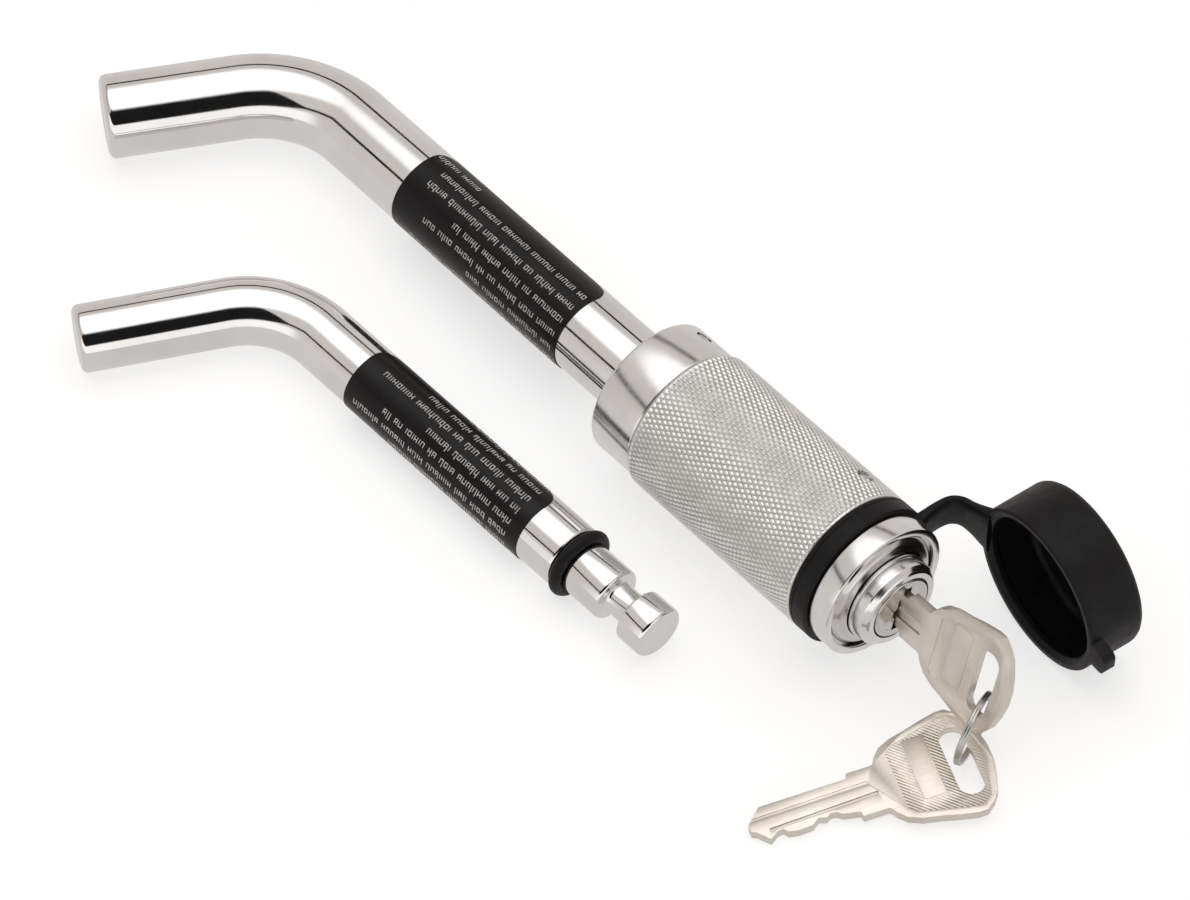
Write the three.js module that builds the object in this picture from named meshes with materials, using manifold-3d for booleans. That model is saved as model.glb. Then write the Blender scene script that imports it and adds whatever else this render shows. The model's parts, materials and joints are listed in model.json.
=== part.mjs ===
// Keyed receiver pin lock with its spare pin, dust cap and two keys.
// Millimetres, +Z up. The lock lies on a table at z = 0 with its dust cap open beside it.
// Both pins are bent rods whose short legs lie flat on the table.

import * as THREE from "three";
import { mergeVertices } from "three/addons/utils/BufferGeometryUtils.js";
import Module from "manifold-3d";

const wasm = await Module();
wasm.setup();

// ---- driving dimensions -------------------------------------------------------------

const SIDES = 24;               // facets round every turned piece
const WIRE_SIDES = 6;           // facets round thin wire
const PIECE_GAP = 0.3;          // air between pieces that are pressed or screwed together
const BEND_ANGLE = Math.PI / 3; // both pins are bent by 60 degrees

const RECEIVER_PIN = {          // 5/8 inch rod
  radius: 7.9375, leg: 38.5, bend: 23.8, shoulder: 101, chamfer: 1.4,
  stepRadius: 5.2, stepEnd: 112.2, neckRadius: 3.1, neckEnd: 117.4, headRadius: 5.2, end: 123.4,
  labelStart: 34.2, labelEnd: 80.2,
};
const SPARE_PIN = {             // 1/2 inch rod
  radius: 6.35, leg: 38.3, bend: 19, shoulder: 78.4, chamfer: 1.2,
  stepRadius: 5.2, stepEnd: 89.6, neckRadius: 3.1, neckEnd: 94.8, headRadius: 5.2, end: 100.8,
  labelStart: 24, labelEnd: 70,
};
const SPARE_PIN_PLACE = { x: 34.7, y: -34.6, turn: 2.1 }; // bend corner, and shaft direction in degrees
const LABEL = { lift: 0.06, thickness: 0.12, openAngle: 46, seamAngle: 71 };
const O_RING = { wire: 1.22, centreRadius: 5.8, grooveRadius: 4.4, grooveWidth: 2.7 };

// Stations along the lock's axis, measured from the bend corner of the receiver pin.
const COLLAR = { start: 97, end: 107.4, radius: 13.88, bore: 8.1, edge: 0.5 };
const CARRIER = { radius: 8, bore: 5.4, boreEnd: 124.4, end: 126, sealBore: 7.4, sealEnd: 104.4 };
const SPIGOT = { inner: 11.4, outer: 12.1, end: 110.8 };
const SLEEVE = { start: 107.7, end: 151, radius: 14.54, bore: 11.5, edge: 0.4 };
const CAM_SLEEVE = { start: 112.2, end: 139.2, radius: 11.2, bore: 8.06, mouth: 10.45, coneEnd: 119.6,
  socket: 132.7 };
const BEZEL = { tail: 139.5, shoulder: 151.3, neckEnd: 155.3, end: 159.9, radius: 13.58, neck: 12.4,
  tailRadius: 11.3, bore: 9.1, rimRadius: 12, recess: 158.3, edge: 0.3 };
const LATCH_GROOVE = { start: 142.6, end: 150.4, radius: 10.2 };
const FACE_DISC = { start: 158.6, end: 159.5, radius: 11.8 };
const BARREL = { start: 133, cavityEnd: 138.2, boreStart: 141.4, noseStart: 163.2, end: 164.6,
  radius: 8.7, nose: 7.8, bore: 6.35, tailHole: 3.4, cavity: 7.3 };
const PLUG = { tail: 136, start: 141.7, end: 164.7, radius: 6.2, tailRadius: 3.2, clipGroove: 2.4,
  clipStart: 137.1, clipEnd: 138 };
const CLIP = { start: 137.3, end: 137.9, outer: 4.8, inner: 2.65, gap: 4 };
const CAM = { start: 147.4, end: 150.6, radius: 5.2, throw: 0.55, grooveFloor: 4.5 };
const KEYWAY = { start: 145.6, halfWidth: 1.3, halfHeight: 3.9 };
const WAFER = { first: 152.6, pitch: 2.4, count: 5, thickness: 1.2, halfHeight: 5.2, halfWidth: 3,
  windowHalfWidth: 1.35, windowHalfHeight: 4, slack: 0.2 };
const LATCH_PIN = { station: 149, radius: 1.2, inner: 5.95, outer: 9.6 };
const GUIDE_PIN = { station: 149, radius: 1, inner: 6.75, outer: 9.5 };
const SPRING = { start: 126.9, end: 137.4, turns: 5, wire: 0.45, radius: 6.4, stepsPerTurn: 12 };
const BALLS = { count: 3, station: 114.8, radius: 2, freeRadius: 7.45, hole: 2.12 };
const SET_SCREW = { station: 101.3, angle: 45.5, radius: 1.15, hole: 1.5, inner: 9.5, outer: 13.4 };
const ROLL_PIN = { station: 144.7, angle: 42, radius: 0.85, hole: 1.15, inner: 10.6, outer: 14.2 };
const DRILL_TOP = 16;         // radial holes are drilled in from this radius
const CAP_RING = { start: 151.4, end: 155, inner: 12.6, outer: 14.5 };
const CAP = { radius: 16.25, wall: 1.9, depth: 12, floor: 2, edge: 1.2 };
const CAP_PLACE = { x: 176.1, y: 21.3, turn: 6 };    // centre of the open rim, and its lean in degrees
const CAP_TAB = { width: 4.6, height: 3.9, reach: 2.6, angle: -92 };
const STRAP = { halfWidth: 3.8, thickness: 1.8, z: 17.4, reach: 2.6 };
const KEY = { thickness: 2, bladeHalf: 3.6, collarHalf: 4.65, collarStart: 19.4, collarEnd: 24.2,
  bowStartHalf: 7.5, bowEndHalf: 11.1, bowStart: 26.8, length: 45,
  slotNear: 37.1, slotFar: 41.9, slotHalf: 7.2,
  cutDepths: [1.5, 0.4, 1.5, 1.6, 0.6], cutStart: 5, cutPitch: 3.05 };
const KEY_IN_LOCK = { tip: 147.05, lean: 17.6 };
const SPARE_KEY = { x: 173.9, y: -43.5, turn: 68.5, lift: 2.9 };
const KEY_RING = { radius: 6.73, wire: 0.6, x: 186.5, y: -2.4, z: 7.5, normal: [0.925, 0.368, -0.093] };

// ---- materials ----------------------------------------------------------------------

const steel = (roughness) => new THREE.MeshStandardMaterial({ color: 0xc9cacb, roughness, metalness: 1 });
const CHROME = steel(0.12);
const SATIN_STEEL = steel(0.38);
const NICKEL = new THREE.MeshStandardMaterial({ color: 0xcfc8ba, roughness: 0.32, metalness: 1 });
const BRASS = new THREE.MeshStandardMaterial({ color: 0xb08d45, roughness: 0.4, metalness: 1 });
const RUBBER = new THREE.MeshStandardMaterial({ color: 0x1a1819, roughness: 0.6, metalness: 0 });
const LABEL_FILM = new THREE.MeshStandardMaterial({ color: 0x1e1c1b, roughness: 0.35, metalness: 0 });

// ---- solids and booleans ------------------------------------------------------------

const degrees = (angle) => THREE.MathUtils.degToRad(angle);

// One closed skin: vertices shared, collapsed triangles dropped, faces turned outward.
function closedSkin(geometry) {
  const bare = geometry.clone();
  bare.deleteAttribute("normal");
  bare.deleteAttribute("uv");
  const merged = mergeVertices(bare, 1e-4);
  const index = merged.index.array;
  const kept = [];
  for (let i = 0; i < index.length; i += 3) {
    const [a, b, c] = [index[i], index[i + 1], index[i + 2]];
    if (a !== b && b !== c && c !== a) kept.push(a, b, c);
  }
  merged.setIndex(signedVolume(merged, kept) < 0 ? kept.toReversed() : kept);
  return merged;
}

function signedVolume(geometry, index) {
  const [a, b, c] = [new THREE.Vector3(), new THREE.Vector3(), new THREE.Vector3()];
  const position = geometry.getAttribute("position");
  let volume = 0;
  for (let i = 0; i < index.length; i += 3) {
    a.fromBufferAttribute(position, index[i]);
    b.fromBufferAttribute(position, index[i + 1]);
    c.fromBufferAttribute(position, index[i + 2]);
    volume += a.dot(b.cross(c)) / 6;
  }
  return volume;
}

function toSolid(geometry) {
  const skin = closedSkin(geometry);
  return new wasm.Manifold(new wasm.Mesh({
    numProp: 3,
    vertProperties: new Float32Array(skin.getAttribute("position").array),
    triVerts: new Uint32Array(skin.index.array),
  }));
}

function toGeometry(solid) {
  const mesh = solid.getMesh();
  const geometry = new THREE.BufferGeometry();
  geometry.setAttribute("position", new THREE.BufferAttribute(mesh.vertProperties, 3));
  geometry.setIndex(new THREE.BufferAttribute(mesh.triVerts, 1));
  geometry.computeVertexNormals();
  return geometry;
}

const join = (first, ...others) =>
  toGeometry(others.reduce((solid, other) => solid.add(toSolid(other)), toSolid(first)));

const cut = (first, ...others) =>
  toGeometry(others.reduce((solid, other) => solid.subtract(toSolid(other)), toSolid(first)));

// A piece turned about +X from a list of [station, radius] points.
function turned(profile, sides = SIDES) {
  const points = profile.map(([station, radius]) => new THREE.Vector2(radius, station));
  return closedSkin(new THREE.LatheGeometry(points, sides).rotateZ(-Math.PI / 2));
}

// A turned ring: its profile closes on itself.
const turnedRing = (profile, sides = SIDES) => turned([...profile, profile[0]], sides);

const tubeProfile = (start, end, inner, outer) => [
  [start, inner], [start, outer], [end, outer], [end, inner],
];

// A radial pin or drill: a cylinder pointing away from the X axis, angle measured from +Z towards +Y.
function radialPin(station, angle, radius, inner, outer, sides = 12) {
  const cylinder = new THREE.CylinderGeometry(radius, radius, outer - inner, sides);
  cylinder.rotateX(Math.PI / 2).translate(0, 0, (inner + outer) / 2).rotateX(-degrees(angle));
  return cylinder.translate(station, 0, 0);
}

function box(start, end, halfWidth, halfHeight) {
  const block = new THREE.BoxGeometry(end - start, 2 * halfWidth, 2 * halfHeight);
  return block.translate((start + end) / 2, 0, 0);
}

function circleShape(radius) {
  return new THREE.Shape().absarc(0, 0, radius, 0, 2 * Math.PI);
}

function part(name, geometry, material) {
  const mesh = new THREE.Mesh(closedSkin(geometry), material);
  mesh.geometry.computeVertexNormals();
  mesh.name = name;
  return mesh;
}

// ---- bent pins ----------------------------------------------------------------------

// The pin lies in its own XY plane: bend corner at the origin, shaft along +X, leg towards -X -Y.
function bentPin(pin) {
  const legTurn = Math.PI + BEND_ANGLE;
  const tangent = pin.bend * Math.tan(BEND_ANGLE / 2);
  const overlap = 1.5;
  const seam = 0.05;            // the bend's tube is this much thinner, so that it ends inside the rods
  const along = (angle, distance) => new THREE.Vector3(
    distance * Math.cos(angle), distance * Math.sin(angle), 0);
  const path = new THREE.CurvePath();
  const handle = tangent - pin.bend * (4 / 3) * Math.tan(BEND_ANGLE / 4);
  path.add(new THREE.LineCurve3(along(legTurn, tangent + overlap), along(legTurn, tangent)));
  path.add(new THREE.CubicBezierCurve3(
    along(legTurn, tangent), along(legTurn, handle), along(0, handle), along(0, tangent)));
  path.add(new THREE.LineCurve3(along(0, tangent), along(0, tangent + overlap)));
  const bend = new THREE.ExtrudeGeometry(circleShape(pin.radius - seam), {
    steps: 12, curveSegments: SIDES / 2, extrudePath: path,
  });
  const leg = turned([[tangent, 0], [tangent, pin.radius], [pin.leg - pin.chamfer, pin.radius],
    [pin.leg, pin.radius - pin.chamfer], [pin.leg, 0]]).rotateZ(legTurn);
  const small = 0.6;
  const grooveEnd = pin.shoulder + O_RING.grooveWidth;
  const shaft = turned([
    [tangent, 0], [tangent, pin.radius],
    [pin.shoulder - small, pin.radius], [pin.shoulder, pin.radius - small],
    [pin.shoulder, O_RING.grooveRadius], [grooveEnd, O_RING.grooveRadius], [grooveEnd, pin.stepRadius],
    [pin.stepEnd - small, pin.stepRadius], [pin.stepEnd, pin.stepRadius - small],
    [pin.stepEnd + small, pin.neckRadius], [pin.neckEnd, pin.neckRadius],
    [pin.neckEnd, pin.headRadius - small], [pin.neckEnd + small, pin.headRadius],
    [pin.end - small, pin.headRadius], [pin.end, pin.headRadius - small], [pin.end, 0],
  ]);
  return join(shaft, bend, leg);
}

// The printed film wraps the shaft and leaves a narrow open strip along it.
function wrapLabel(pin) {
  const inner = pin.radius + LABEL.lift;
  const outer = inner + LABEL.thickness;
  const half = degrees(LABEL.openAngle / 2);
  const shape = new THREE.Shape();
  shape.absarc(0, 0, outer, half, 2 * Math.PI - half);
  shape.absarc(0, 0, inner, 2 * Math.PI - half, half, true);
  const film = new THREE.ExtrudeGeometry(shape, {
    depth: pin.labelEnd - pin.labelStart, bevelEnabled: false, curveSegments: 14,
  });
  // The open strip starts on the shape's +X; this turns it up to +Z, then towards +Y.
  film.rotateZ(Math.PI).rotateY(Math.PI / 2).rotateX(-degrees(LABEL.seamAngle));
  return film.translate(pin.labelStart, 0, 0);
}

function oRing(pin) {
  const torus = new THREE.TorusGeometry(O_RING.centreRadius, O_RING.wire, 8, SIDES);
  return torus.rotateY(Math.PI / 2).translate(pin.shoulder + O_RING.grooveWidth / 2, 0, 0);
}

// Tilt of a pin whose leg lies on the table and whose shaft rests on a rim further along.
function restingTilt(legRadius, station, rimRadius) {
  return Math.atan2(rimRadius, station) - Math.asin(legRadius / Math.hypot(station, rimRadius));
}

// The leg stays level when the shaft tilts up, so the pin rolls a little about its shaft.
const rollForTilt = (tilt) => -Math.asin(Math.tan(tilt) / Math.tan(BEND_ANGLE));

// ---- lock head ----------------------------------------------------------------------

function lockBody() {
  const c = COLLAR;
  const blank = turned([
    [CARRIER.boreEnd, 0], [CARRIER.boreEnd, CARRIER.bore], [CARRIER.sealEnd, CARRIER.bore],
    [CARRIER.sealEnd, CARRIER.sealBore], [RECEIVER_PIN.shoulder + PIECE_GAP, CARRIER.sealBore],
    [RECEIVER_PIN.shoulder + PIECE_GAP, c.bore], [c.start, c.bore],
    [c.start, c.radius - c.edge], [c.start + c.edge, c.radius], [c.end, c.radius],
    [c.end, SPIGOT.outer], [SPIGOT.end, SPIGOT.outer], [SPIGOT.end, SPIGOT.inner], [c.end, SPIGOT.inner],
    [c.end, CARRIER.radius], [CARRIER.end, CARRIER.radius], [CARRIER.end, 0],
  ]);
  const drills = ballAngles().map((angle) => radialPin(BALLS.station, angle, BALLS.hole, 3, 10));
  const screwHole = radialPin(
    SET_SCREW.station, SET_SCREW.angle, SET_SCREW.hole, SET_SCREW.inner - PIECE_GAP, DRILL_TOP);
  return cut(blank, ...drills, screwHole);
}

const ballAngles = () => Array.from({ length: BALLS.count }, (_, i) => (360 * i) / BALLS.count);

function knurledSleeve() {
  const s = SLEEVE;
  const pocket = SPIGOT.outer + 0.2;
  const blank = turnedRing([
    [s.start, pocket], [s.start, s.radius - s.edge], [s.start + s.edge, s.radius],
    [s.end - s.edge, s.radius], [s.end, s.radius - s.edge], [s.end, s.bore],
    [SPIGOT.end + PIECE_GAP, s.bore], [SPIGOT.end + PIECE_GAP, pocket],
  ]);
  return cut(blank, radialPin(ROLL_PIN.station, ROLL_PIN.angle, ROLL_PIN.hole, 8, 16));
}

function bezel() {
  const b = BEZEL;
  const blank = turnedRing([
    [b.tail, b.bore], [b.tail, b.tailRadius], [b.shoulder, b.tailRadius], [b.shoulder, b.neck],
    [b.neckEnd, b.neck], [b.neckEnd, b.radius - b.edge], [b.neckEnd + b.edge, b.radius],
    [b.end - b.edge, b.radius], [b.end, b.radius - b.edge], [b.end, b.rimRadius],
    [b.recess, b.rimRadius], [b.recess, b.bore],
    [LATCH_GROOVE.end, b.bore], [LATCH_GROOVE.end, LATCH_GROOVE.radius],
    [LATCH_GROOVE.start, LATCH_GROOVE.radius], [LATCH_GROOVE.start, b.bore],
  ]);
  return cut(blank, radialPin(
    ROLL_PIN.station, ROLL_PIN.angle, ROLL_PIN.hole, ROLL_PIN.inner - PIECE_GAP, DRILL_TOP));
}

function plungerBarrel() {
  const b = BARREL;
  const blank = turnedRing([
    [b.start, b.cavity], [b.start, b.radius], [b.noseStart, b.radius],
    [(b.noseStart + b.end) / 2, (2 * b.radius + b.nose) / 3], [b.end, b.nose],
    [b.end, b.bore], [b.boreStart, b.bore],
    [b.boreStart, b.tailHole], [b.cavityEnd, b.tailHole], [b.cavityEnd, b.cavity],
  ]);
  const latchHole = radialPin(LATCH_PIN.station, 0, LATCH_PIN.radius + 0.15, 5, 10);
  const guideHole = radialPin(GUIDE_PIN.station, 180, GUIDE_PIN.radius + PIECE_GAP, 5, 10);
  return cut(blank, latchHole, guideHole);
}

function camSleeve() {
  const c = CAM_SLEEVE;
  return turnedRing([
    [c.start, c.mouth], [c.start, c.radius], [c.end, c.radius], [c.end, BARREL.radius + PIECE_GAP],
    [c.socket, BARREL.radius + PIECE_GAP], [c.socket, c.bore], [c.coneEnd, c.bore],
  ]);
}

function lockPlug() {
  const p = PLUG;
  const blank = turned([
    [p.tail, 0], [p.tail, p.tailRadius], [p.clipStart, p.tailRadius], [p.clipStart, p.clipGroove],
    [p.clipEnd, p.clipGroove], [p.clipEnd, p.tailRadius], [p.start, p.tailRadius], [p.start, p.radius],
    [CAM.start, p.radius], [CAM.start, CAM.grooveFloor], [CAM.end, CAM.grooveFloor], [CAM.end, p.radius],
    [p.end, p.radius], [p.end, 0],
  ]);
  const camDisc = turned([[CAM.start - 0.2, 0], [CAM.start - 0.2, CAM.radius], [CAM.end + 0.2, CAM.radius],
    [CAM.end + 0.2, 0]]).translate(0, 0, CAM.throw);
  const slots = waferStations().map((station) => box(
    station - WAFER.thickness / 2 - WAFER.slack, station + WAFER.thickness / 2 + WAFER.slack,
    WAFER.halfWidth + WAFER.slack, p.radius + 1).rotateX(-degrees(KEY_IN_LOCK.lean)));
  const keyway = box(KEYWAY.start, p.end + 1, KEYWAY.halfWidth, KEYWAY.halfHeight);
  keyway.rotateX(-degrees(KEY_IN_LOCK.lean));
  return cut(join(blank, camDisc), keyway, ...slots);
}

const waferStations = () => Array.from({ length: WAFER.count }, (_, i) => WAFER.first + i * WAFER.pitch);

function wafer(station) {
  const [start, end] = [station - WAFER.thickness / 2, station + WAFER.thickness / 2];
  const plate = box(start, end, WAFER.halfWidth, WAFER.halfHeight);
  const window = box(start - 1, end + 1, WAFER.windowHalfWidth, WAFER.windowHalfHeight);
  return cut(plate, window).rotateX(-degrees(KEY_IN_LOCK.lean));
}

function plugClip() {
  const ring = turnedRing(tubeProfile(CLIP.start, CLIP.end, CLIP.inner, CLIP.outer));
  const mouth = box(CLIP.start - 1, CLIP.end + 1, CLIP.gap / 2, CLIP.outer).translate(0, 0, -CLIP.outer);
  return cut(ring, mouth);
}

// A helix about the X axis.
class Helix extends THREE.Curve {
  getPoint(t, target = new THREE.Vector3()) {
    const turn = 2 * Math.PI * SPRING.turns * t;
    const x = THREE.MathUtils.lerp(SPRING.start, SPRING.end, t);
    return target.set(x, SPRING.radius * Math.sin(turn), SPRING.radius * Math.cos(turn));
  }
}

const plungerSpring = () => new THREE.ExtrudeGeometry(circleShape(SPRING.wire), {
  steps: SPRING.turns * SPRING.stepsPerTurn, curveSegments: WIRE_SIDES / 2, extrudePath: new Helix(),
});

function lockingBall(angle) {
  const ball = new THREE.SphereGeometry(BALLS.radius, 12, 8);
  return ball.translate(0, 0, BALLS.freeRadius).rotateX(-degrees(angle)).translate(BALLS.station, 0, 0);
}

// ---- dust cap -----------------------------------------------------------------------

// The cap is turned about +X with its mouth at x = 0, then set beside the lock.
function dustCap() {
  const c = CAP;
  const inner = c.radius - c.wall;
  const cup = turned([
    [c.depth - c.floor, 0], [c.depth - c.floor, inner], [0, inner], [0, c.radius],
    [c.depth - c.edge, c.radius], [c.depth, c.radius - c.edge], [c.depth, 0],
  ], 32);
  const tab = new THREE.BoxGeometry(CAP_TAB.reach, CAP_TAB.width, CAP_TAB.height + c.wall);
  tab.translate(CAP_TAB.reach / 2, 0, c.radius - c.wall / 2 + CAP_TAB.height / 2);
  tab.rotateX(-degrees(CAP_TAB.angle));
  return join(cup, tab);
}

// The strap leaves the ring outward, turns a corner and meets the side of the cap.
function capStrap() {
  const half = STRAP.thickness / 2;
  const root = CAP_RING.outer + PIECE_GAP;
  const shape = new THREE.Shape();
  const x = (CAP_RING.start + CAP_RING.end) / 2 - 0.3;
  const capSide = CAP_PLACE.x - CAP.radius - PIECE_GAP - 0.6;
  const far = CAP_PLACE.y + STRAP.reach;
  shape.moveTo(x - half, root);
  shape.lineTo(x - half, far - 4);
  shape.quadraticCurveTo(x - half, far, x + 3.4, far);
  shape.lineTo(capSide, far + 0.6);
  shape.lineTo(capSide, far - STRAP.thickness + 0.6);
  shape.lineTo(x + 3.6, far - STRAP.thickness);
  shape.quadraticCurveTo(x + half, far - STRAP.thickness, x + half, far - 4.4);
  shape.lineTo(x + half, root);
  const band = new THREE.ExtrudeGeometry(shape, {
    depth: 2 * STRAP.halfWidth, bevelEnabled: false, curveSegments: 6,
  });
  return band.translate(0, 0, STRAP.z - STRAP.halfWidth);
}

// ---- keys ---------------------------------------------------------------------------

// A flat key along +X from its tip, its cuts towards -Y, its thickness along Z.
function key() {
  const k = KEY;
  const shape = new THREE.Shape();
  shape.moveTo(0, 0.9);
  shape.lineTo(2.8, k.bladeHalf);
  shape.lineTo(k.collarStart, k.bladeHalf);
  shape.lineTo(k.collarStart, k.collarHalf);
  shape.lineTo(k.collarEnd, k.collarHalf);
  shape.quadraticCurveTo(k.collarEnd + 0.6, k.bowStartHalf - 0.6, k.bowStart, k.bowStartHalf);
  shape.lineTo(k.length - 6.5, k.bowEndHalf);
  shape.quadraticCurveTo(k.length - 2, k.bowEndHalf + 0.2, k.length - 1.3, k.bowEndHalf - 4);
  shape.quadraticCurveTo(k.length + 0.1, 0, k.length - 1.3, 4 - k.bowEndHalf);
  shape.quadraticCurveTo(k.length - 2, -k.bowEndHalf - 0.2, k.length - 6.5, -k.bowEndHalf);
  shape.lineTo(k.bowStart, -k.bowStartHalf);
  shape.quadraticCurveTo(k.collarEnd + 0.6, 0.6 - k.bowStartHalf, k.collarEnd, -k.collarHalf);
  shape.lineTo(k.collarStart, -k.collarHalf);
  for (let i = k.cutDepths.length - 1; i >= 0; i -= 1) {
    const centre = k.cutStart + i * k.cutPitch;
    shape.lineTo(centre + 1.2, -k.bladeHalf);
    shape.lineTo(centre + 0.5, k.cutDepths[i] - k.bladeHalf);
    shape.lineTo(centre - 0.5, k.cutDepths[i] - k.bladeHalf);
    shape.lineTo(centre - 1.2, -k.bladeHalf);
  }
  shape.lineTo(0, -0.9);
  const slot = new THREE.Path();
  const slotRadius = (k.slotFar - k.slotNear) / 2;
  const slotCentre = (k.slotFar + k.slotNear) / 2;
  slot.absarc(slotCentre, k.slotHalf - slotRadius, slotRadius, 0, Math.PI);
  slot.absarc(slotCentre, slotRadius - k.slotHalf, slotRadius, Math.PI, 2 * Math.PI);
  slot.closePath();
  shape.holes.push(slot);
  const plate = new THREE.ExtrudeGeometry(shape, {
    depth: k.thickness, bevelEnabled: false, curveSegments: 4,
  });
  return plate.translate(0, 0, -k.thickness / 2);
}

function keyRing() {
  const ring = new THREE.TorusGeometry(KEY_RING.radius, KEY_RING.wire, WIRE_SIDES, SIDES);
  const normal = new THREE.Vector3(...KEY_RING.normal).normalize();
  ring.applyQuaternion(new THREE.Quaternion().setFromUnitVectors(new THREE.Vector3(0, 0, 1), normal));
  return ring.translate(KEY_RING.x, KEY_RING.y, KEY_RING.z);
}

// ---- assembly -----------------------------------------------------------------------

// Everything on the lock's axis, with the bend corner of the receiver pin at the origin.
function lockOnAxis(tilt) {
  const lock = new THREE.Group();
  lock.position.z = RECEIVER_PIN.radius;
  lock.rotation.y = -tilt;

  const pin = new THREE.Group();
  pin.rotation.x = rollForTilt(tilt);
  pin.add(part("receiver_pin", bentPin(RECEIVER_PIN), CHROME));
  lock.add(pin);
  lock.add(part("pin_label", wrapLabel(RECEIVER_PIN), LABEL_FILM));
  lock.add(part("pin_o_ring", oRing(RECEIVER_PIN), RUBBER));

  lock.add(part("lock_body", lockBody(), CHROME));
  lock.add(part("knurled_sleeve", knurledSleeve(), SATIN_STEEL));
  lock.add(part("bezel", bezel(), CHROME));
  lock.add(part("face_disc", turnedRing(tubeProfile(
    FACE_DISC.start, FACE_DISC.end, BEZEL.bore, FACE_DISC.radius)), SATIN_STEEL));
  lock.add(part("collar_set_screw", radialPin(SET_SCREW.station, SET_SCREW.angle, SET_SCREW.radius,
    SET_SCREW.inner, SET_SCREW.outer), SATIN_STEEL));
  lock.add(part("sleeve_roll_pin", radialPin(ROLL_PIN.station, ROLL_PIN.angle, ROLL_PIN.radius,
    ROLL_PIN.inner, ROLL_PIN.outer), SATIN_STEEL));

  lock.add(part("plunger_barrel", plungerBarrel(), CHROME));
  lock.add(part("cam_sleeve", camSleeve(), SATIN_STEEL));
  lock.add(part("barrel_guide_pin", radialPin(GUIDE_PIN.station, 180, GUIDE_PIN.radius,
    GUIDE_PIN.inner, GUIDE_PIN.outer), SATIN_STEEL));
  lock.add(part("plunger_spring", plungerSpring(), SATIN_STEEL));
  ballAngles().forEach((angle, i) => lock.add(part(`locking_ball_${i + 1}`, lockingBall(angle), CHROME)));

  lock.add(part("lock_plug", lockPlug(), CHROME));
  lock.add(part("plug_clip", plugClip(), SATIN_STEEL));
  waferStations().forEach((station, i) => lock.add(part(`wafer_${i + 1}`, wafer(station), BRASS)));
  lock.add(part("latch_pin", radialPin(LATCH_PIN.station, 0, LATCH_PIN.radius,
    LATCH_PIN.inner, LATCH_PIN.outer), SATIN_STEEL));

  const insertedKey = part("key", key().rotateX(Math.PI / 2), NICKEL);
  insertedKey.geometry.rotateX(-degrees(KEY_IN_LOCK.lean));
  insertedKey.position.x = KEY_IN_LOCK.tip;
  lock.add(insertedKey);

  lock.add(part("cap_retaining_ring", turnedRing(tubeProfile(
    CAP_RING.start, CAP_RING.end, CAP_RING.inner, CAP_RING.outer)), RUBBER));
  return lock;
}

function sparePin() {
  const sealStation = SPARE_PIN.shoulder + O_RING.grooveWidth / 2;
  const tilt = restingTilt(SPARE_PIN.radius, sealStation, O_RING.centreRadius + O_RING.wire);
  const place = new THREE.Group();
  place.position.set(SPARE_PIN_PLACE.x, SPARE_PIN_PLACE.y, SPARE_PIN.radius);
  place.rotation.z = degrees(SPARE_PIN_PLACE.turn);
  const shaft = new THREE.Group();
  shaft.rotation.y = -tilt;
  const pin = new THREE.Group();
  pin.rotation.x = rollForTilt(tilt);
  pin.add(part("spare_pin", bentPin(SPARE_PIN), CHROME));
  shaft.add(pin);
  shaft.add(part("spare_pin_label", wrapLabel(SPARE_PIN), LABEL_FILM));
  shaft.add(part("spare_pin_o_ring", oRing(SPARE_PIN), RUBBER));
  place.add(shaft);
  return place;
}

function spareKey() {
  const mesh = part("spare_key", key(), NICKEL);
  const flat = new THREE.Group();
  flat.position.set(SPARE_KEY.x, SPARE_KEY.y, KEY.thickness / 2);
  flat.rotation.z = degrees(SPARE_KEY.turn);
  mesh.rotation.y = -degrees(SPARE_KEY.lift);
  flat.add(mesh);
  return flat;
}

function openCap() {
  const mesh = part("dust_cap", dustCap(), RUBBER);
  mesh.position.set(CAP_PLACE.x, CAP_PLACE.y, CAP.radius);
  mesh.rotation.z = Math.PI / 2 - degrees(CAP_PLACE.turn);
  return mesh;
}

const lockSet = new THREE.Group();
lockSet.name = "hitch_pin_lock";
const LOCK_TILT = restingTilt(RECEIVER_PIN.radius, SLEEVE.start + SLEEVE.edge, SLEEVE.radius);
lockSet.add(lockOnAxis(LOCK_TILT));
lockSet.add(part("cap_strap", capStrap(), RUBBER));
lockSet.add(openCap());
lockSet.add(part("key_ring", keyRing(), SATIN_STEEL));
lockSet.add(spareKey());
lockSet.add(sparePin());

// The origin goes to the middle of the footprint, on the table.
lockSet.updateMatrixWorld(true);
const extent = new THREE.Box3().setFromObject(lockSet, true);
const middle = extent.getCenter(new THREE.Vector3());
lockSet.position.set(-middle.x, -middle.y, -extent.min.z);
lockSet.updateMatrixWorld(true);

export default lockSet;
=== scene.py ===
"""Looks of the keyed hitch pin lock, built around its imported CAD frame.

Sizes are written in millimetres and become metres in one place, solid().
Turned pieces lie along their own X axis, with stations measured from the pin's bend corner.
Angles about that axis run from up (+Z) towards +Y.
"""

import json
import random
from math import asin, atan2, cos, hypot, pi, radians, sin, sqrt, tan

import bmesh
import bpy
from mathutils import Matrix, Vector


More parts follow.
